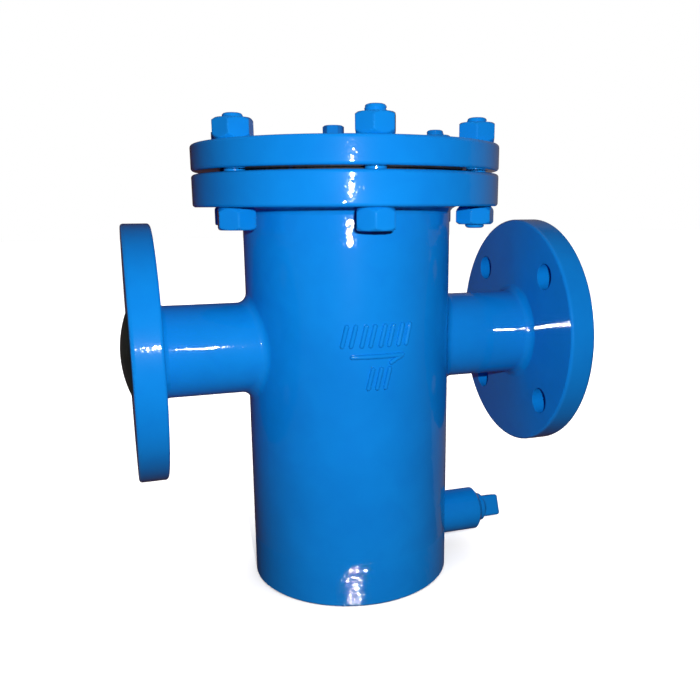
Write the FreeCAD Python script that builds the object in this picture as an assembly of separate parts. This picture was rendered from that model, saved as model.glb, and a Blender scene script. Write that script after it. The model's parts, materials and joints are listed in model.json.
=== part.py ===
import FreeCAD, Part
import math
import os

# Flanged basket strainer, nominal bore 50 mm, in millimetres.
# Origin: the body's axis at the underside of the base.  +Z is up, the inlet
# faces -X, the outlet and the drain face +X.

# body: welded pipe with a flat base
body_r = 69.85
body_wall = 5.0
base_thk = 8.0
base_edge = 1.2

# body flange, gasket and blind cover
lid_r = 101.5
flange_z0 = 259.1
flange_thk = 20.4
shell_step = 5.0
gasket_thk = 2.0
gasket_r_in = 66.0
gasket_r_out = 78.0
cover_thk = 16.5
rim_round = 2.0

# studs and hex nuts round the cover; a stud may stand a little off its hole's centre
bolt_circle_r = 87.4
bolt_hole_r = 8.0
bolt_start_deg = -96.0
stud_r = 6.35
stud_chamfer = 1.3
stud_drift_x = (0.7, 0.6, 0.0, 0.0, 0.0, 0.0)
stud_below = (-0.6, 2.3, 2.0, 2.0, 2.0, -0.6)
stud_rise = (4.4, 3.2, 3.8, 2.5, 2.0, 2.8)
nut_af = 22.0
top_nut_height = 12.4
lower_nut_height = (13.5, 11.3, 12.4, 12.4, 12.4, 13.5)
nut_bore_r = 6.4
nut_face_r = 10.3
nut_face_chamfer_deg = 33.0
nut_seat_r = 10.2
nut_seat_chamfer_deg = 50.0
top_nut_turn_deg = (7.4, 4.6, 5.0, 18.0, 21.8, 8.0)
lower_nut_turn_deg = (11.2, -8.1, 24.0, 11.0, 21.7, 26.8)

# vent plug with a hexagonal head, in a boss on the cover
vent_y = 29.5
vent_boss_r = 12.0
vent_boss_height = 7.0
vent_bore_r = 6.6
vent_plug_r = 6.55
vent_plug_depth = 12.0
vent_collar_r = 9.0
vent_collar_thk = 3.0
vent_head_af = 13.0
vent_head_height = 6.5
vent_head_face_r = 6.1
vent_turn_deg = 38.2

# inlet and outlet: pipe and flat-faced flange, four holes off the centrelines
nozzle_z = 167.0
nozzle_r = 30.15
nozzle_wall = 3.6
face_x = 147.0
pipe_flange_r = 82.5
pipe_flange_thk = 18.0
pipe_bolt_circle_r = 62.5
pipe_bolt_hole_r = 9.0
pipe_bolt_count = 4

# weld beads
nozzle_weld = 7.0
flange_weld = 5.0
lid_weld = 4.5
drain_weld = 2.5
vent_weld = 2.5
weld_hollow = 0.3

# plastic caps that close the two bores
cap_lip_r = 28.0
cap_dome = 5.6
cap_plug_r = 26.2
cap_plug_depth = 8.0
cap_wall = 1.6

# sloping seat plate and the basket that hangs in it
seat_tilt_deg = 30.0
seat_z = 167.5
seat_thk = 5.0
seat_gap = 0.35
seat_hole_r = 50.5
basket_r = 49.0
basket_wall = 1.5
basket_z0 = 12.0
basket_base_thk = 2.0
basket_rim_r = 58.0
basket_rim_thk = 3.0
screen_hole_r = 3.2
screen_pitch_z = 10.0
screen_columns = 24
screen_margin = 9.0

# swing handle on two lugs of the basket's rim
pivot_z = 181.0
lug_y0 = 49.5
lug_thk = 3.0
lug_half = 6.0
lug_root = 25.0
handle_r = 45.5
handle_rod_r = 2.5
handle_pin_y = 55.0
handle_clearance = 0.06

# drain socket and its square-headed plug
drain_z = 28.0
socket_r = 16.0
socket_bore_r = 10.5
socket_x1 = 103.0
socket_nose = 3.8
socket_nose_r = 11.6
plug_r = 10.44
plug_x0 = 84.0
plug_collar_x1 = 108.0
plug_collar_chamfer = 2.0
plug_af = 16.0
plug_x1 = 119.6
plug_edge = 2.2
plug_turn_deg = -22.0

# raised bead marks on the front of the body, as arc lengths from -Y
bead_r = 1.5
bead_sink = 0.3
arrow_z = 168.6
arrow_tail_s = -18.0
arrow_tip_s = 15.0
arrow_barb_s = 7.0
arrow_barb_drop = 4.3
upper_bar_s = (-24.0, -18.5, -12.0, -6.5, 0.0, 5.5, 12.0, 17.5)
upper_bar_z = 175.5
lower_bar_s = (-8.0, -2.5, 3.0)
lower_bar_z = 148.5
bar_rise = 12.0
bar_lean = 3.0

# derived sizes
body_r_in = body_r - body_wall
flange_z1 = flange_z0 + flange_thk
cover_z0 = flange_z1 + gasket_thk
cover_z1 = cover_z0 + cover_thk
shell_z1 = flange_z1 - shell_step
nozzle_r_in = nozzle_r - nozzle_wall
basket_r_in = basket_r - basket_wall
through = 400.0
tolerance = 1e-6

ORIGIN = FreeCAD.Vector(0, 0, 0)
X = FreeCAD.Vector(1, 0, 0)
Y = FreeCAD.Vector(0, 1, 0)
Z = FreeCAD.Vector(0, 0, 1)


def vec(x, y, z):
    return FreeCAD.Vector(x, y, z)


def cyl_z(r, z0, z1, x=0.0, y=0.0):
    return Part.makeCylinder(r, z1 - z0, vec(x, y, z0), Z)


def cyl_x(r, x0, x1, z, y=0.0):
    return Part.makeCylinder(r, x1 - x0, vec(x0, y, z), X)


def cyl_y(r, y0, y1, z):
    return Part.makeCylinder(r, y1 - y0, vec(0, y0, z), Y)


def joined(shapes):
    return shapes[0].multiFuse(shapes[1:]).removeSplitter()


def turned(points):
    """Solid of revolution about Z from (radius, z) corners."""
    ring = [vec(r, 0, z) for r, z in points]
    ring.append(ring[0])
    face = Part.Face(Part.makePolygon(ring))
    return face.revolve(ORIGIN, Z, 360)


def rounded_rims(shape, rim_r, radius):
    rims = [
        e
        for e in shape.Edges
        if isinstance(e.Curve, Part.Circle) and abs(e.Curve.Radius - rim_r) < tolerance
    ]
    return shape.makeFillet(radius, rims)


def onto_x(shape, x, side):
    """Carry a shape built along Z to the nozzle axis: its +Z becomes side * X."""
    placed = shape.copy()
    placed.rotate(ORIGIN, Y, side * 90)
    placed.translate(vec(side * x, 0, nozzle_z))
    return placed


def on_circle(radius, degrees):
    a = math.radians(degrees)
    return radius * math.cos(a), radius * math.sin(a)


def plate_ring(r_in, r_out, thk, hole_circle_r, hole_r, hole_degrees):
    """Flat ring on z = 0 with rounded outer rims and bolt holes."""
    plate = rounded_rims(cyl_z(r_out, 0, thk), r_out, rim_round)
    cuts = []
    if r_in:
        cuts.append(cyl_z(r_in, -1, thk + 1))
    for degrees in hole_degrees:
        x, y = on_circle(hole_circle_r, degrees)
        cuts.append(cyl_z(hole_r, -1, thk + 1, x, y))
    return plate.cut(cuts)


def bead_ring(wall_r, leg, rise):
    """Hollow-faced bead lying in the corner of a wall and the plane z = 0."""
    low = vec(wall_r, 0, rise * leg)
    out = vec(wall_r + leg, 0, 0)
    corner = vec(wall_r, 0, 0)
    share = 0.5 - weld_hollow / 2
    crown = vec(wall_r + leg * share, 0, rise * leg * share)
    edges = [
        Part.makeLine(corner, low),
        Part.Arc(low, crown, out).toShape(),
        Part.makeLine(out, corner),
    ]
    return Part.Face(Part.Wire(edges)).revolve(ORIGIN, Z, 360)


def saddle_bead(branch, branch_r, leg):
    """Bead round the corner where a branch leaves the body's wall."""
    wall = cyl_z(body_r, branch.BoundBox.ZMin - through / 10, branch.BoundBox.ZMax + through / 10)
    whole = wall.fuse(branch)
    corner = []
    for e in whole.Edges:
        a = e.valueAt(e.FirstParameter)
        b = e.valueAt((e.FirstParameter + e.LastParameter) / 2)
        on_wall = all(abs(math.hypot(p.x, p.y) - body_r) < 1e-3 for p in (a, b))
        on_branch = all(
            abs(math.hypot(p.y, p.z - branch.BoundBox.Center.z) - branch_r) < 1e-3 for p in (a, b)
        )
        if on_wall and on_branch:
            corner.append(e)
    return whole.makeFillet(leg, corner).cut([wall, branch])


def hexagon(across_flats, height, outline):
    """Hexagonal prism standing on z = 0, cut to a turned outline."""
    corner_r = across_flats / 2 / math.cos(math.pi / 6)
    corners = [vec(*on_circle(corner_r, 60 * i), 0) for i in range(6)]
    corners.append(corners[0])
    prism = Part.Face(Part.makePolygon(corners)).extrude(vec(0, 0, height))
    return prism.common(turned(outline))


def hex_nut(height):
    """Nut whose seat is on z = 0 and whose free face is at the given height."""
    corner_r = nut_af / 2 / math.cos(math.pi / 6)
    seat_drop = (corner_r - nut_seat_r) * math.tan(math.radians(nut_seat_chamfer_deg))
    face_drop = (corner_r - nut_face_r) * math.tan(math.radians(nut_face_chamfer_deg))
    outline = [
        (0, 0),
        (nut_seat_r, 0),
        (corner_r, seat_drop),
        (corner_r, height - face_drop),
        (nut_face_r, height),
        (0, height),
    ]
    return hexagon(nut_af, height, outline).cut(cyl_z(nut_bore_r, -1, height + 1))


def stud(z0, z1):
    tip_r = stud_r - stud_chamfer
    return turned([
        (0, z0),
        (tip_r, z0),
        (stud_r, z0 + stud_chamfer),
        (stud_r, z1 - stud_chamfer),
        (tip_r, z1),
        (0, z1),
    ])


def plug_with_hex_head():
    """Plug whose collar sits on z = 0, with its threaded length below."""
    corner_r = vent_head_af / 2 / math.cos(math.pi / 6)
    drop = (corner_r - vent_head_face_r) * math.tan(math.radians(nut_face_chamfer_deg))
    head = hexagon(vent_head_af, vent_head_height, [
        (0, 0),
        (corner_r, 0),
        (corner_r, vent_head_height - drop),
        (vent_head_face_r, vent_head_height),
        (0, vent_head_height),
    ])
    head.rotate(ORIGIN, Z, vent_turn_deg)
    head.translate(vec(0, 0, vent_collar_thk))
    collar = cyl_z(vent_collar_r, 0, vent_collar_thk)
    shank = cyl_z(vent_plug_r, -vent_plug_depth, 0)
    return joined([shank, collar, head])


def sloping_slab(offset0, offset1):
    """Slab between two planes parallel to the basket seat, offsets along its normal."""
    half = body_r * 2
    slab = Part.makeBox(2 * half, 2 * half, offset1 - offset0, vec(-half, -half, offset0))
    slab.rotate(ORIGIN, Y, -seat_tilt_deg)
    slab.translate(vec(0, 0, seat_z))
    return slab


def bead_centre(s, z):
    """Point on a bead's centreline, from arc length along the body's front and height."""
    return vec(*on_circle(body_r + bead_sink, -90 + math.degrees(s / body_r)), z)


def bead_run(s0, z0, s1, z1):
    """Round bead from one point on the body's front to another."""
    start = bead_centre(s0, z0)
    end = bead_centre(s1, z1)
    if abs(z1 - z0) > tolerance:
        return Part.makeCylinder(bead_r, (end - start).Length, start, end - start)
    section = Part.Face(Part.Wire(Part.makeCircle(bead_r, vec(body_r + bead_sink, 0, z0), Y)))
    run = section.revolve(ORIGIN, Z, math.degrees((s1 - s0) / body_r))
    run.rotate(ORIGIN, Z, -90 + math.degrees(s0 / body_r))
    return run


def bead_mark(runs, ends):
    """Runs that meet, with a ball at each end; what lies inside the body's wall is taken off."""
    balls = [Part.makeSphere(bead_r, bead_centre(s, z)) for s, z in ends]
    return runs[0].multiFuse(runs[1:] + balls).cut(cyl_z(body_r, 0, flange_z0))


nodes = {}

# body shell, with its two nozzle openings and the drain hole
shell = turned([
    (0, 0),
    (body_r - base_edge, 0),
    (body_r, base_edge),
    (body_r, shell_z1),
    (0, shell_z1),
])
nodes["body_shell"] = shell.cut([
    cyl_z(body_r_in, -1, shell_z1 + 1),
    cyl_x(nozzle_r_in, -through, through, nozzle_z),
    cyl_x(socket_bore_r, 0, through, drain_z),
])
nodes["base_plate"] = cyl_z(body_r_in, 0, base_thk)

bolt_degrees = [bolt_start_deg + 60 * i for i in range(6)]
body_flange = plate_ring(body_r, lid_r, flange_thk, bolt_circle_r, bolt_hole_r, bolt_degrees)
body_flange.translate(vec(0, 0, flange_z0))
nodes["body_flange"] = body_flange
outer_bead = bead_ring(body_r, lid_weld, -1)
outer_bead.translate(vec(0, 0, flange_z0))
nodes["body_flange_weld"] = outer_bead

# cover and gasket
cover = plate_ring(0, lid_r, cover_thk, bolt_circle_r, bolt_hole_r, bolt_degrees)
cover.translate(vec(0, 0, cover_z0))
vent_bore = cyl_z(vent_bore_r, cover_z0 - 1, cover_z1 + vent_boss_height + 1, 0, vent_y)
nodes["cover"] = cover.cut(vent_bore)
boss_z1 = cover_z1 + vent_boss_height
nodes["vent_boss"] = cyl_z(vent_boss_r, cover_z1, boss_z1, 0, vent_y).cut(vent_bore)
boss_bead = bead_ring(vent_boss_r, vent_weld, 1)
boss_bead.translate(vec(0, vent_y, cover_z1))
nodes["vent_weld"] = boss_bead
vent_plug = plug_with_hex_head()
vent_plug.translate(vec(0, vent_y, boss_z1))
nodes["vent_plug"] = vent_plug
nodes["cover_gasket"] = cyl_z(gasket_r_out, flange_z1, cover_z0).cut(
    cyl_z(gasket_r_in, flange_z1 - 1, cover_z0 + 1)
)

# studs with a nut at each end
for i, degrees in enumerate(bolt_degrees):
    x, y = on_circle(bolt_circle_r, degrees)
    x += stud_drift_x[i]
    one_stud = stud(
        flange_z0 - lower_nut_height[i] - stud_below[i], cover_z1 + top_nut_height + stud_rise[i]
    )
    one_stud.translate(vec(x, y, 0))
    nodes["stud_%d" % (i + 1)] = one_stud
    for name, height, turn, z, flip in (
        ("top_nut_%d", top_nut_height, top_nut_turn_deg[i], cover_z1, 0),
        ("lower_nut_%d", lower_nut_height[i], lower_nut_turn_deg[i], flange_z0, 180),
    ):
        one_nut = hex_nut(height)
        one_nut.rotate(ORIGIN, X, flip)
        one_nut.rotate(ORIGIN, Z, turn)
        one_nut.translate(vec(x, y, z))
        nodes[name % (i + 1)] = one_nut

# inlet and outlet: pipe, flange, the bead at each end, and the cap in the bore
cap_sphere_r = (cap_lip_r ** 2 + cap_dome ** 2) / (2 * cap_dome)
cap_shape = (
    Part.makeSphere(cap_sphere_r, vec(0, 0, cap_dome - cap_sphere_r))
    .common(cyl_z(cap_lip_r, 0, cap_dome))
    .fuse(cyl_z(cap_plug_r, -cap_plug_depth, 0))
    .cut(cyl_z(cap_plug_r - cap_wall, -cap_plug_depth, 0))
)
pipe_bolt_degrees = [360 / pipe_bolt_count * (i + 0.5) for i in range(pipe_bolt_count)]
for name, side in (("inlet", -1), ("outlet", 1)):
    branch = cyl_x(nozzle_r, min(0, side * face_x), max(0, side * face_x), nozzle_z)
    bore = cyl_x(nozzle_r_in, -through, through, nozzle_z)
    nodes[name + "_pipe"] = branch.cut([cyl_z(body_r, 0, flange_z0), bore])
    ring = plate_ring(
        nozzle_r, pipe_flange_r, pipe_flange_thk,
        pipe_bolt_circle_r, pipe_bolt_hole_r, pipe_bolt_degrees,
    )
    nodes[name + "_flange"] = onto_x(ring, face_x - pipe_flange_thk, side)
    nodes[name + "_body_weld"] = saddle_bead(branch, nozzle_r, nozzle_weld)
    nodes[name + "_flange_weld"] = onto_x(
        bead_ring(nozzle_r, flange_weld, -1), face_x - pipe_flange_thk, side
    )
    nodes[name + "_cap"] = onto_x(cap_shape, face_x, side)

# sloping seat plate inside the body
nodes["seat_plate"] = sloping_slab(-seat_thk, 0).common(cyl_z(body_r_in, 0, flange_z0)).cut(
    cyl_z(seat_hole_r, 0, flange_z0)
)

# basket: perforated wall, base and sloping rim with two lugs
wall = cyl_z(basket_r, basket_z0, flange_z0).cut(cyl_z(basket_r_in, basket_z0 - 1, flange_z0 + 1))
wall = wall.cut(sloping_slab(seat_gap, through))
seat_slope = math.tan(math.radians(seat_tilt_deg))
screen_z0 = basket_z0 + screen_margin
screen_rows = int((seat_z + basket_r * seat_slope - screen_z0) / screen_pitch_z)
pegs = []
for row in range(screen_rows):
    z = screen_z0 + row * screen_pitch_z
    for column in range(screen_columns):
        degrees = (column + 0.5 * (row % 2)) * 360 / screen_columns
        x, y = on_circle(basket_r + basket_wall, degrees)
        if z < seat_z + x * seat_slope - screen_margin:
            inward = vec(-x, -y, 0)
            pegs.append(Part.makeCylinder(screen_hole_r, 4 * basket_wall, vec(x, y, z), inward))
nodes["basket_screen"] = wall.cut(pegs)
nodes["basket_base"] = cyl_z(basket_r_in, basket_z0, basket_z0 + basket_base_thk)
rim_top = seat_gap + basket_rim_thk
rim = sloping_slab(seat_gap, rim_top).common(cyl_z(basket_rim_r, 0, flange_z0))
rim = rim.cut(cyl_z(basket_r_in, 0, flange_z0))
lug_parts = [rim]
for side in (-1, 1):
    y0 = lug_y0 if side > 0 else -lug_y0 - lug_thk
    post = Part.makeBox(2 * lug_half, lug_thk, lug_root, vec(-lug_half, y0, pivot_z - lug_root))
    post = post.cut(sloping_slab(-through, seat_gap))
    lug_parts += [post, cyl_y(lug_half, y0, y0 + lug_thk, pivot_z)]
pin_hole = cyl_y(handle_rod_r + handle_clearance, -body_r, body_r, pivot_z)
nodes["basket_rim"] = joined(lug_parts).cut(pin_hole)

# handle: half ring of rod with two pins through the lugs
pivot = vec(0, 0, pivot_z)
rod = Part.Face(Part.Wire(Part.makeCircle(handle_rod_r, pivot + vec(0, handle_r, 0), Z)))
arch = rod.revolve(pivot, X, 180)
handle_parts = [arch]
for side in (-1, 1):
    y0, y1 = sorted((side * handle_r, side * handle_pin_y))
    handle_parts.append(cyl_y(handle_rod_r, y0, y1, pivot_z))
    handle_parts.append(Part.makeSphere(handle_rod_r, pivot + vec(0, side * handle_r, 0)))
nodes["basket_handle"] = joined(handle_parts)

# drain socket, its bead and the plug
socket_blank = cyl_x(socket_r, 0, socket_x1, drain_z)
nose = Part.makeCone(
    socket_r, socket_nose_r, socket_nose, vec(socket_x1 - socket_nose, 0, drain_z), X
)
socket = cyl_x(socket_r, 0, socket_x1 - socket_nose, drain_z).fuse(nose)
nodes["drain_socket"] = socket.cut([
    cyl_z(body_r, -1, flange_z0),
    cyl_x(socket_bore_r, 0, through, drain_z),
])
nodes["drain_weld"] = saddle_bead(socket_blank, socket_r, drain_weld)
collar_x0 = plug_collar_x1 - plug_collar_chamfer
collar = Part.makeCone(
    plug_r, plug_r - plug_collar_chamfer, plug_collar_chamfer, vec(collar_x0, 0, drain_z), X
)
head = Part.makeBox(
    plug_x1 - collar_x0, plug_af, plug_af, vec(collar_x0, -plug_af / 2, drain_z - plug_af / 2)
)
head = head.makeFillet(plug_edge, [e for e in head.Edges if e.BoundBox.XMax > collar_x0 + tolerance])
head.rotate(vec(0, 0, drain_z), X, plug_turn_deg)
nodes["drain_plug"] = joined([cyl_x(plug_r, plug_x0, collar_x0, drain_z), collar, head])

# one-barbed flow arrow and plain slanting bars, laid on the body as weld bead
tail = (arrow_tail_s, arrow_z)
tip = (arrow_tip_s, arrow_z)
barb = (arrow_barb_s, arrow_z - arrow_barb_drop)
nodes["flow_arrow"] = bead_mark([bead_run(*tail, *tip), bead_run(*barb, *tip)], [tail, tip, barb])
bars = []
for starts, z in ((upper_bar_s, upper_bar_z), (lower_bar_s, lower_bar_z)):
    for s in starts:
        foot = (s, z)
        top = (s + bar_lean, z + bar_rise)
        bars.append(bead_mark([bead_run(*foot, *top)], [foot, top]))
nodes["marker_bars"] = Part.makeCompound(bars)

os.makedirs("parts", exist_ok=True)
for name, shape in nodes.items():
    shape.exportStep(os.path.join("parts", name + ".step"))
    print(name, len(shape.Solids), shape.isValid(), round(shape.Volume, 1))
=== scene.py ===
import json
import math

import bpy
from mathutils import Matrix, Vector


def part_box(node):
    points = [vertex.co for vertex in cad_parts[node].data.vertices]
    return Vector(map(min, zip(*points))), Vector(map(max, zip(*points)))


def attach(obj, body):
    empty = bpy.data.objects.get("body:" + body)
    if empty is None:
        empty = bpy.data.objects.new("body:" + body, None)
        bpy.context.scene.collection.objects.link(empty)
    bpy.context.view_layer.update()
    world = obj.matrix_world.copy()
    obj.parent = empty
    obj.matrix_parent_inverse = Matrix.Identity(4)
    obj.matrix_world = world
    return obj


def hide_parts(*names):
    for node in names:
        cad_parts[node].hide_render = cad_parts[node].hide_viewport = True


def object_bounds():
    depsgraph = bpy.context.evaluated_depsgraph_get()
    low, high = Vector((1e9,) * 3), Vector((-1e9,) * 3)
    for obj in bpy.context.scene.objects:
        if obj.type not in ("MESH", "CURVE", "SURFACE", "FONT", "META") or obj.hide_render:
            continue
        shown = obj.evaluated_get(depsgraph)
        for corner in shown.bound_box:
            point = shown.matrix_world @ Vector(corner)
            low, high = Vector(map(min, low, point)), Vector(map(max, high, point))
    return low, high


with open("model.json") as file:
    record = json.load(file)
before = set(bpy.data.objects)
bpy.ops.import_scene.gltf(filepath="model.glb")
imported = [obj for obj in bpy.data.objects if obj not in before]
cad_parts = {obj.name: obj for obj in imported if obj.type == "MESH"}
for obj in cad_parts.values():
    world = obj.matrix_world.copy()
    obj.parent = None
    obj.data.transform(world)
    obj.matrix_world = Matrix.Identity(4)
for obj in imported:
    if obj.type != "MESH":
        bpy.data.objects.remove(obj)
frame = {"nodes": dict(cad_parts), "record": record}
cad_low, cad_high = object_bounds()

scene = bpy.context.scene
centre = (cad_low + cad_high) / 2

# The camera: where the eye stands in the CAD frame, its turn, tilt and roll in radians, and its lens and
# sensor in millimetres.
EYE = Vector((-0.1515, -0.5055, 0.2591))
YAW, PITCH, ROLL = 0.332, 0.218, -0.004
SENSOR = 36.0
LENS = 39.0
SHIFT = (-0.0411, 0.0353)
CLIP_START = 0.02
SIDEWAYS = Vector((math.cos(YAW), -math.sin(YAW), 0.0))

# The studs and the threads at both ends of their plain shanks, in metres. A thread has so many rows of points
# to its pitch, and so many sides round the stud.
STUD_COUNT = 6
THREAD_PITCH = 0.002
THREAD_DEPTH = 0.0005
THREAD_STEPS = 6
THREAD_SIDES = 32
THREAD_LENGTH = 0.020
TIP_HEIGHT = 0.0026
TIP_INSET = 0.0022

# Radii that the materials soften sharp edges to, in metres.
PAINT_EDGE = 0.0009
NUT_EDGE = 0.0018
STEEL_EDGE = 0.0004
PLASTIC_EDGE = 0.0006

# Relief in the paint's clear coat, which decides where it catches the light. A depth is in metres, and a
# slope is metres of height to a metre of length. The shear is how little a ridge changes on its way round.
RIPPLE_DEPTH = 0.00008
FLARE_DEPTH = 0.0173
NECK_DEPTH = 0.0019
NECK_PIT_DEPTH = 0.00022
FOOT_DEPTH = 0.0176
FOOT_PIT_DEPTH = 0.00040
RIDGE_DEPTH = 0.00018
RING_SLOPE = 1.83
PIPE_SLOPE = 0.072
RIM_SLOPE = 0.011
RIDGE_SHEAR = 0.04

# Where that relief starts and is full: lengths of pipe counted back from its flange, and heights above the
# base. The rings of the outlet's flange fade in amid the body, where no flange is.
PIPE_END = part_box("outlet_flange")[0].x
FLARE_X = (PIPE_END - 0.030, PIPE_END)
RIPPLE_X = (PIPE_END - 0.039, PIPE_END - 0.025)
NECK_Z = (0.262, 0.235)
NECK_PIT_Z = (0.230, 0.236)
FOOT_Z = (0.0305, 0.0)
FOOT_PIT_Z = (0.0325, 0.0285)
MID_BODY_X = (-0.01, 0.01)
NOZZLE_Z = (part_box("inlet_pipe")[0].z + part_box("inlet_pipe")[1].z) / 2


def rgb(r, g, b):
    return (r, g, b, 1.0)


# Colours, as linear light. A tone is a place in the noise and the colour there.
PAINT_TONES = [
    (0.30, rgb(0.0022, 0.192, 0.62)),
    (0.52, rgb(0.0026, 0.217, 0.68)),
    (0.72, rgb(0.0034, 0.243, 0.74)),
]
PAINT_STREAK = rgb(0.002, 0.160, 0.60)
PAINT_DUST = rgb(0.06, 0.30, 0.66)
# Lighter blue for edges: partly paint worn down there, partly a painted highlight along the edges.
PAINT_THIN_AND_HIGHLIGHT = rgb(0.012, 0.30, 0.80)
PAINT_CHIP = rgb(0.004, 0.030, 0.10)
STAINLESS = rgb(0.62, 0.62, 0.60)
STAINLESS_STAIN = rgb(0.44, 0.43, 0.41)
MILL_STEEL = rgb(0.34, 0.33, 0.31)
MILL_STAIN = rgb(0.17, 0.13, 0.10)
SCUFFED_STEEL = rgb(0.82, 0.82, 0.80)
PLASTIC_TONES = [
    (0.35, rgb(0.010, 0.017, 0.014)),
    (0.70, rgb(0.028, 0.044, 0.038)),
]
PLASTIC_SCUFF = rgb(0.075, 0.085, 0.080)
PLASTIC_WORN = rgb(0.10, 0.14, 0.125)
GASKET_DARK = rgb(0.008, 0.010, 0.012)
GASKET_PALE = rgb(0.030, 0.034, 0.040)
GASKET_PAINT = rgb(0.003, 0.06, 0.22)
FLOOR_DARK = rgb(0.86, 0.86, 0.86)
FLOOR_PALE = rgb(0.90, 0.90, 0.90)
BACKDROP = rgb(1.0, 1.0, 1.0)
ROOM = rgb(1.0, 0.50, 0.58)
ROOM_STRENGTH = 0.05


# ---------------------------------------------------------------- node helpers
class Nodes:
    """A material's node tree with short calls for the nodes used here."""

    def __init__(self, name):
        self.mat = bpy.data.materials.new(name)
        self.mat.use_nodes = True
        self.tree = self.mat.node_tree
        self.tree.nodes.clear()
        self.shader = self.add("ShaderNodeBsdfPrincipled")
        out = self.add("ShaderNodeOutputMaterial")
        self.tree.links.new(self.shader.outputs[0], out.inputs[0])
        self.coord = self.add("ShaderNodeTexCoord").outputs["Object"]

    def add(self, kind, **props):
        node = self.tree.nodes.new(kind)
        for key, value in props.items():
            setattr(node, key, value)
        return node

    def put(self, value, socket):
        """Link a socket to this one, or set a plain value on it."""
        if isinstance(value, bpy.types.NodeSocket):
            self.tree.links.new(value, socket)
        else:
            socket.default_value = value

    def shade(self, sockets):
        """Put each named value on the shader, and return the finished material."""
        for name, value in sockets.items():
            self.put(value, self.shader.inputs[name])
        return self.mat

    def noise(self, scale, detail, roughness, distortion=0.0, vector=None):
        node = self.add("ShaderNodeTexNoise")
        self.put(vector or self.coord, node.inputs["Vector"])
        for key, value in (
            ("Scale", scale), ("Detail", detail), ("Roughness", roughness), ("Distortion", distortion),
        ):
            node.inputs[key].default_value = value
        return node.outputs[0]

    def cells(self, scale):
        """Distance to the nearest of many scattered points."""
        node = self.add("ShaderNodeTexVoronoi")
        self.put(self.coord, node.inputs["Vector"])
        node.inputs["Scale"].default_value = scale
        return node.outputs["Distance"]

    def math(self, operation, a, b=0.0, clamp=False):
        node = self.add("ShaderNodeMath", operation=operation, use_clamp=clamp)
        self.put(a, node.inputs[0])
        self.put(b, node.inputs[1])
        return node.outputs[0]

    def times(self, a, b):
        return self.math("MULTIPLY", a, b)

    def span(self, value, low, high, to_low=0.0, to_high=1.0):
        """Map low..high to to_low..to_high, and hold the end values outside it."""
        node = self.add("ShaderNodeMapRange", clamp=True)
        for i, v in enumerate((value, low, high, to_low, to_high)):
            self.put(v, node.inputs[i])
        return node.outputs[0]

    def mix(self, factor, a, b):
        """Mix two colours, through the Mix node's colour sockets."""
        node = self.add("ShaderNodeMix", data_type="RGBA")
        self.put(factor, node.inputs[0])
        self.put(a, node.inputs[6])
        self.put(b, node.inputs[7])
        return node.outputs[2]

    def ramp(self, value, stops):
        node = self.add("ShaderNodeValToRGB")
        self.put(value, node.inputs[0])
        ramp = node.color_ramp
        while len(ramp.elements) < len(stops):
            ramp.elements.new(0.5)
        for element, (place, colour) in zip(ramp.elements, stops):
            element.position = place
            element.color = colour
        return node.outputs[0]

    def bump(self, height, distance, normal=None, strength=1.0):
        node = self.add("ShaderNodeBump")
        self.put(height, node.inputs["Height"])
        node.inputs["Distance"].default_value = distance
        node.inputs["Strength"].default_value = strength
        if normal is not None:
            self.put(normal, node.inputs["Normal"])
        return node.outputs[0]

    def soft_edge(self, radius):
        """(normal with rounded edges, 0 to 1 mask of the edges)."""
        bevel = self.add("ShaderNodeBevel", samples=4)
        bevel.inputs["Radius"].default_value = radius
        flat = self.add("ShaderNodeNewGeometry").outputs["Normal"]
        dot = self.add("ShaderNodeVectorMath", operation="DOT_PRODUCT")
        self.put(bevel.outputs[0], dot.inputs[0])
        self.put(flat, dot.inputs[1])
        return bevel.outputs[0], self.span(dot.outputs["Value"], 0.995, 0.80)

    def axis(self, index):
        node = self.add("ShaderNodeSeparateXYZ")
        self.put(self.coord, node.inputs[0])
        return node.outputs[index]

    def ridges(self, along, scale):
        """Uneven ridges across a length, running round the axis the length is measured on."""
        node = self.add("ShaderNodeCombineXYZ")
        self.put(along, node.inputs[0])
        self.put(self.times(self.axis(1), RIDGE_SHEAR), node.inputs[1])
        self.put(self.times(self.axis(2), RIDGE_SHEAR), node.inputs[2])
        return self.noise(scale, detail=2.0, roughness=0.6, vector=node.outputs[0])


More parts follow.
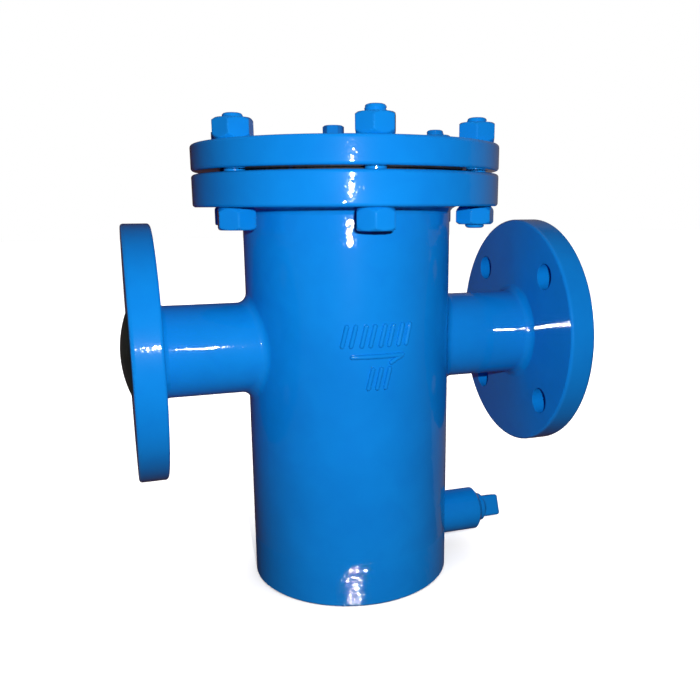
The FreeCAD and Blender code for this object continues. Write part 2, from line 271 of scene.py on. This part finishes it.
# ------------------------------------------------------------------- materials
def blue_paint(name, edge_radius=PAINT_EDGE, lumps=0.0, relief=None):
    """Gloss enamel: uneven film, slight waves, dust nibs, and chipped edges where there is a radius, painted
    lighter in patches: partly paint worn down there, partly a painted highlight along the edges.

    lumps is the strength of brush lumps, and relief is a function that shapes the clear coat alone.
    """
    n = Nodes(name)
    colour = n.ramp(n.noise(9.0, detail=4.0, roughness=0.6), PAINT_TONES)
    streaks = n.noise(55.0, detail=2.0, roughness=0.5, distortion=0.8)
    colour = n.mix(n.span(streaks, 0.45, 0.75, 0.0, 0.20), colour, PAINT_STREAK)
    dust = n.noise(26.0, detail=6.0, roughness=0.7)
    colour = n.mix(n.span(dust, 0.62, 0.82, 0.0, 0.06), colour, PAINT_DUST)
    rough = n.span(n.noise(38.0, detail=4.0, roughness=0.6), 0.3, 0.7, 0.30, 0.42)
    normal = None
    if edge_radius:
        normal, edge = n.soft_edge(edge_radius)
        patches = n.noise(320.0, detail=4.0, roughness=0.65)
        # Patches of the edges get lighter blue: partly worn paint, partly a painted highlight.
        thin_and_highlight = n.times(edge, n.span(patches, 0.42, 0.62, 0.0, 0.6))
        colour = n.mix(thin_and_highlight, colour, PAINT_THIN_AND_HIGHLIGHT)
        spots = n.noise(210.0, detail=3.0, roughness=0.7)
        chips = n.times(edge, n.span(spots, 0.68, 0.72))
        colour = n.mix(chips, colour, PAINT_CHIP)
        rough = n.math("ADD", rough, n.times(chips, 0.3), clamp=True)
    waves = n.noise(38.0, detail=1.0, roughness=0.4)
    normal = n.bump(waves, 0.0012, normal, strength=0.24)
    if lumps:
        brushed = n.noise(120.0, detail=2.0, roughness=0.5, distortion=0.3)
        normal = n.bump(brushed, 0.0012, normal, strength=lumps)
    coat = n.bump(n.noise(420.0, detail=1.0, roughness=0.4), 0.00012, normal, strength=0.38)
    nibs = n.span(n.cells(270.0), 0.34, 0.0)
    where = n.span(n.noise(70.0, detail=2.0, roughness=0.5), 0.50, 0.60)
    coat = n.bump(n.times(nibs, where), 0.00016, coat, strength=0.7)
    if relief:
        coat = relief(n, coat)
    return n.shade({
        "Base Color": colour,
        "Roughness": rough,
        "Normal": normal,
        "Coat Normal": coat,
        "Coat Weight": 1.0,
        "Coat Roughness": 0.045,
        "Specular IOR Level": 0.02,
    })


def pipe_relief(n, coat):
    """A pipe's coat slopes slightly all along, flares towards the outlet's flange and ripples near both."""
    x = n.math("ABSOLUTE", n.axis(0))
    coat = n.bump(n.times(x, -1.0), PIPE_SLOPE, coat)
    coat = n.bump(n.span(n.axis(0), *FLARE_X), FLARE_DEPTH, coat)
    ripples = n.times(n.ridges(x, 620.0), n.span(x, *RIPPLE_X))
    return n.bump(ripples, RIPPLE_DEPTH, coat)


def body_relief(n, coat):
    """The body's coat slopes and is pitted at the foot and in a band under the upper flange."""
    z = n.axis(2)
    coat = n.bump(n.span(z, *NECK_Z), NECK_DEPTH, coat)
    coat = n.bump(n.span(z, *FOOT_Z), FOOT_DEPTH, coat)
    pits = n.times(n.noise(340.0, detail=1.0, roughness=0.4), n.span(z, *NECK_PIT_Z))
    coat = n.bump(pits, NECK_PIT_DEPTH, coat)
    dents = n.times(n.noise(360.0, detail=1.0, roughness=0.4), n.span(z, *FOOT_PIT_Z))
    return n.bump(dents, FOOT_PIT_DEPTH, coat)


def flange_relief(n, coat):
    """Turned rings about the nozzle's axis on the outlet's flange, and rims that slope on both flanges."""
    y = n.axis(1)
    z = n.math("SUBTRACT", n.axis(2), NOZZLE_Z)
    r = n.math("SQRT", n.math("ADD", n.math("POWER", y, 2.0), n.math("POWER", z, 2.0)))
    outlet = n.span(n.axis(0), *MID_BODY_X, 0.0, -1.0)
    coat = n.bump(n.times(r, outlet), RING_SLOPE, coat)
    coat = n.bump(n.times(n.ridges(r, 720.0), outlet), RIDGE_DEPTH, coat)
    x = n.math("ABSOLUTE", n.axis(0))
    return n.bump(n.times(x, -1.0), RIM_SLOPE, coat)


def steel(name, base, stained, rough_low, rough_high, grain):
    """Bare or stainless steel with a drawn grain, stains and scuffed edges."""
    n = Nodes(name)
    normal, edge = n.soft_edge(STEEL_EDGE)
    stains = n.span(n.noise(28.0, detail=5.0, roughness=0.6), 0.42, 0.72)
    colour = n.mix(stains, base, stained)
    colour = n.mix(n.times(edge, 0.5), colour, SCUFFED_STEEL)
    stretch = n.add("ShaderNodeMapping")
    stretch.inputs["Scale"].default_value = grain
    n.put(n.coord, stretch.inputs["Vector"])
    lines = n.noise(60.0, detail=3.0, roughness=0.6, vector=stretch.outputs[0])
    return n.shade({
        "Base Color": colour,
        "Roughness": n.span(lines, 0.3, 0.7, rough_low, rough_high),
        "Normal": n.bump(lines, 0.00008, normal, strength=0.5),
        "Metallic": 1.0,
    })


def black_plastic(name):
    """Moulded plastic with uneven colour, scuffs and worn edges."""
    n = Nodes(name)
    normal, edge = n.soft_edge(PLASTIC_EDGE)
    colour = n.ramp(n.noise(40.0, detail=4.0, roughness=0.6), PLASTIC_TONES)
    scuffs = n.noise(160.0, detail=5.0, roughness=0.7, distortion=1.2)
    colour = n.mix(n.span(scuffs, 0.60, 0.72, 0.0, 0.5), colour, PLASTIC_SCUFF)
    colour = n.mix(n.times(edge, 0.4), colour, PLASTIC_WORN)
    rough = n.span(n.noise(70.0, detail=3.0, roughness=0.6), 0.3, 0.7, 0.26, 0.48)
    grain = n.noise(500.0, detail=2.0, roughness=0.5)
    return n.shade({
        "Base Color": colour,
        "Roughness": rough,
        "Normal": n.bump(grain, 0.0002, normal, strength=0.4),
    })


def gasket_sheet(name):
    """Compressed fibre sheet, dark, with paint crept into its edge."""
    n = Nodes(name)
    fibres = n.noise(350.0, detail=5.0, roughness=0.7, distortion=0.5)
    colour = n.mix(n.span(fibres, 0.35, 0.7), GASKET_DARK, GASKET_PALE)
    crept = n.span(n.noise(45.0, detail=4.0, roughness=0.6), 0.58, 0.66, 0.0, 0.7)
    colour = n.mix(crept, colour, GASKET_PAINT)
    return n.shade({
        "Base Color": colour,
        "Roughness": n.span(fibres, 0.3, 0.7, 0.62, 0.85),
        "Normal": n.bump(fibres, 0.0003, strength=0.6),
    })


def floor_sheet(name):
    """Matt pale floor, very slightly uneven in tone."""
    n = Nodes(name)
    clouds = n.span(n.noise(3.0, detail=3.0, roughness=0.5), 0.3, 0.7)
    return n.shade({
        "Base Color": n.mix(clouds, FLOOR_DARK, FLOOR_PALE),
        "Roughness": 0.9,
        "Specular IOR Level": 0.1,
    })


plain_paint = blue_paint("paint_blue")
pipe_paint = blue_paint("paint_blue_pipe", edge_radius=None, relief=pipe_relief)
body_paint = blue_paint("paint_blue_body", edge_radius=None, relief=body_relief)
flange_paint = blue_paint("paint_blue_flange", relief=flange_relief)
weld_paint = blue_paint("paint_blue_weld", edge_radius=None, lumps=0.3)
nut_paint = blue_paint("paint_blue_nut", edge_radius=NUT_EDGE)

BY_SLOT = {
    "blue_paint": plain_paint,
    "stainless": steel("stainless_satin", STAINLESS, STAINLESS_STAIN, 0.22, 0.42, grain=(1.0, 1.0, 14.0)),
    "bare_steel": steel("steel_mill", MILL_STEEL, MILL_STAIN, 0.38, 0.62, grain=(6.0, 1.0, 1.0)),
    "black_plastic": black_plastic("plastic_black"),
    "gasket_sheet": gasket_sheet("gasket_fibre"),
}
BY_NODE = {
    "body_shell": body_paint,
    "inlet_pipe": pipe_paint,
    "outlet_pipe": pipe_paint,
    "inlet_flange": flange_paint,
    "outlet_flange": flange_paint,
    "flow_arrow": weld_paint,
    "marker_bars": weld_paint,
    "vent_plug": nut_paint,
    "drain_plug": nut_paint,
}
slot_of = {part["node"]: part["material_slot"] for part in frame["record"]["subparts"]}


def material_of(node):
    """The material of a CAD node: its own, that of its kind, or that of its slot."""
    if node in BY_NODE:
        return BY_NODE[node]
    if "nut" in node:
        return nut_paint
    if node.endswith("_weld"):
        return weld_paint
    return BY_SLOT[slot_of[node]]


for node, obj in frame["nodes"].items():
    obj.data.materials.clear()
    obj.data.materials.append(material_of(node))


# ---------------------------------------------------------------- made pieces
def new_piece(name, verts, faces, material, body):
    mesh = bpy.data.meshes.new(name)
    mesh.from_pydata(verts, [], faces)
    mesh.validate()
    mesh.polygons.foreach_set("use_smooth", [True] * len(mesh.polygons))
    mesh.materials.append(material)
    obj = bpy.data.objects.new(name, mesh)
    scene.collection.objects.link(obj)
    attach(obj, body)
    return obj


def stud_radius(radius, along, length, turn):
    """Radius of the thread, the shank or the rounded tip, this far along and this far round a stud."""
    near_end = min(along, length - along)
    depth = THREAD_DEPTH if near_end < THREAD_LENGTH else 0.0
    phase = (along / THREAD_PITCH - turn) % 1.0
    groove = depth * (0.5 + 0.5 * math.cos(2 * math.pi * phase))
    fall = max(0.0, 1 - near_end / TIP_HEIGHT)
    tip = radius - TIP_INSET * (1 - math.sqrt(1 - fall ** 2))
    return min(radius - groove, tip)


def threaded_stud(node):
    """A stud with a cut thread and a rounded tip at each end."""
    low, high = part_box(node)
    middle = (low + high) / 2
    radius = (high.x - low.x) / 2
    length = high.z - low.z
    rows = int(length / THREAD_PITCH * THREAD_STEPS)
    verts = []
    for row in range(rows + 1):
        along = length * row / rows
        for side in range(THREAD_SIDES):
            turn = side / THREAD_SIDES
            r = stud_radius(radius, along, length, turn)
            angle = 2 * math.pi * turn
            verts.append((middle.x + r * math.cos(angle), middle.y + r * math.sin(angle), low.z + along))
    faces = []
    for row in range(rows):
        for side in range(THREAD_SIDES):
            a = row * THREAD_SIDES + side
            b = row * THREAD_SIDES + (side + 1) % THREAD_SIDES
            faces.append((a, b, b + THREAD_SIDES, a + THREAD_SIDES))
    faces.append(tuple(reversed(range(THREAD_SIDES))))
    faces.append(tuple(range(rows * THREAD_SIDES, (rows + 1) * THREAD_SIDES)))
    obj = new_piece(node + "_threaded", verts, faces, plain_paint, "strainer_body")
    for polygon in obj.data.polygons[-2:]:
        polygon.use_smooth = False
    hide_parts(node)
    return obj


studs = [threaded_stud("stud_%d" % (i + 1)) for i in range(STUD_COUNT)]


# ----------------------------------------------------------------------- floor
FLOOR_HALF = 6.0
FLOOR_GAP = 0.0002


def pale_floor():
    """A square floor just under the base, which sends no light back up to the object."""
    corners = [(x * FLOOR_HALF, y * FLOOR_HALF, 0) for x, y in ((-1, -1), (1, -1), (1, 1), (-1, 1))]
    mesh = bpy.data.meshes.new("floor")
    mesh.from_pydata(corners, [], [(0, 1, 2, 3)])
    mesh.materials.append(floor_sheet("floor_pale"))
    floor = bpy.data.objects.new("floor", mesh)
    floor.location.z = cad_low.z - FLOOR_GAP
    floor.visible_diffuse = False
    floor.visible_glossy = False
    scene.collection.objects.link(floor)
    return floor


# ---------------------------------------------------------------------- lights
def area_light(name, place, size, watts, colour=(1, 1, 1), glints=True):
    """Soft disc aimed at the strainer; without glints it only adds diffuse light."""
    data = bpy.data.lights.new(name, "AREA")
    data.shape = "DISK"
    data.size = size
    data.energy = watts
    data.color = colour
    light = bpy.data.objects.new(name, data)
    light.location = place
    light.rotation_euler = (centre - Vector(place)).to_track_quat("-Z", "Y").to_euler()
    light.visible_glossy = glints
    scene.collection.objects.link(light)
    return light


def sun_light(name, strength, spread, turn):
    data = bpy.data.lights.new(name, "SUN")
    data.energy = strength
    data.angle = spread
    light = bpy.data.objects.new(name, data)
    light.rotation_euler = turn
    scene.collection.objects.link(light)
    return light


def light_only(light, name, objects):
    """Let a light fall on these objects alone."""
    group = bpy.data.collections.new(name)
    for obj in objects:
        group.objects.link(obj)
    light.light_linking.receiver_collection = group


# A small lamp a little right of and above the eye gives the hard glints.
FRONT_RIGHT = 0.034
FRONT_ABOVE = Vector((0, 0, 0.031))
area_light("front_light", EYE + FRONT_RIGHT * SIDEWAYS + FRONT_ABOVE, size=0.011, watts=2.8)

# Three discs about one middle make a panel on the right that fades towards its rim. Each has a diameter and
# its watts.
RIGHT_DISCS = ((2.3, 1.5), (1.6, 1.4), (0.9, 1.0))
for size, watts in RIGHT_DISCS:
    name = "right_panel_%d" % (10 * size)
    area_light(name, (1.45, 0.75, 0.35), size, watts, colour=(0.86, 0.92, 1.0))

area_light("top_fill", (0.1, 0.1, 1.6), size=1.2, watts=1.8, glints=False)
area_light("back_fill", (0.7, 1.4, 0.45), size=1.0, watts=13.0, glints=False)

# The inlet's open end is lit from the left by a light that leaves the body's left side dark.
inlet_fill = area_light(
    "inlet_fill", (-1.3, 0.1, 0.3), size=0.6, watts=5.0, colour=(0.9, 1.0, 0.95), glints=False
)
light_only(inlet_fill, "inlet_end", [frame["nodes"]["inlet_flange"], frame["nodes"]["inlet_cap"]])

# The cover's top is hidden from the camera and gets a light of its own from straight above.
cover_fill = area_light("cover_fill", (0.0, 0.0, 1.3), size=0.4, watts=3.5, glints=False)
on_cover = ["cover", "vent_boss", "vent_plug"] + [node for node in frame["nodes"] if "top_nut" in node]
light_only(cover_fill, "cover_top", [frame["nodes"][node] for node in on_cover] + studs)

# The floor has a wide sun of its own.
floor_light = sun_light("floor_light", strength=4.6, spread=2.6, turn=(0.25, 0.1, 0.0))
light_only(floor_light, "floor_only", [pale_floor()])


def studio_world():
    """White behind the object, and a dim warm room around it for everything but the camera."""
    world = bpy.data.worlds.new("studio")
    world.use_nodes = True
    tree = world.node_tree
    tree.nodes.clear()
    room = tree.nodes.new("ShaderNodeBackground")
    room.inputs[0].default_value = ROOM
    room.inputs[1].default_value = ROOM_STRENGTH
    backdrop = tree.nodes.new("ShaderNodeBackground")
    backdrop.inputs[0].default_value = BACKDROP
    mix = tree.nodes.new("ShaderNodeMixShader")
    path = tree.nodes.new("ShaderNodeLightPath")
    out = tree.nodes.new("ShaderNodeOutputWorld")
    tree.links.new(path.outputs["Is Camera Ray"], mix.inputs[0])
    tree.links.new(room.outputs[0], mix.inputs[1])
    tree.links.new(backdrop.outputs[0], mix.inputs[2])
    tree.links.new(mix.outputs[0], out.inputs[0])
    return world


scene.world = studio_world()
scene.view_settings.view_transform = "Standard"


# ---------------------------------------------------------------------- camera
def photo_camera():
    """A camera at the eye, turned, tilted and rolled, with its lens shifted to frame the object."""
    level = math.cos(PITCH)
    ahead = Vector((math.sin(YAW) * level, math.cos(YAW) * level, -math.sin(PITCH)))
    upward = SIDEWAYS.cross(ahead)
    right = math.cos(ROLL) * SIDEWAYS + math.sin(ROLL) * upward
    up = -math.sin(ROLL) * SIDEWAYS + math.cos(ROLL) * upward
    data = bpy.data.cameras.new("camera")
    data.sensor_width = SENSOR
    data.lens = LENS
    data.shift_x, data.shift_y = SHIFT
    data.clip_start = CLIP_START
    obj = bpy.data.objects.new("camera", data)
    obj.matrix_world = Matrix.Translation(EYE) @ Matrix((right, up, -ahead)).transposed().to_4x4()
    scene.collection.objects.link(obj)
    return obj


scene.camera = photo_camera()
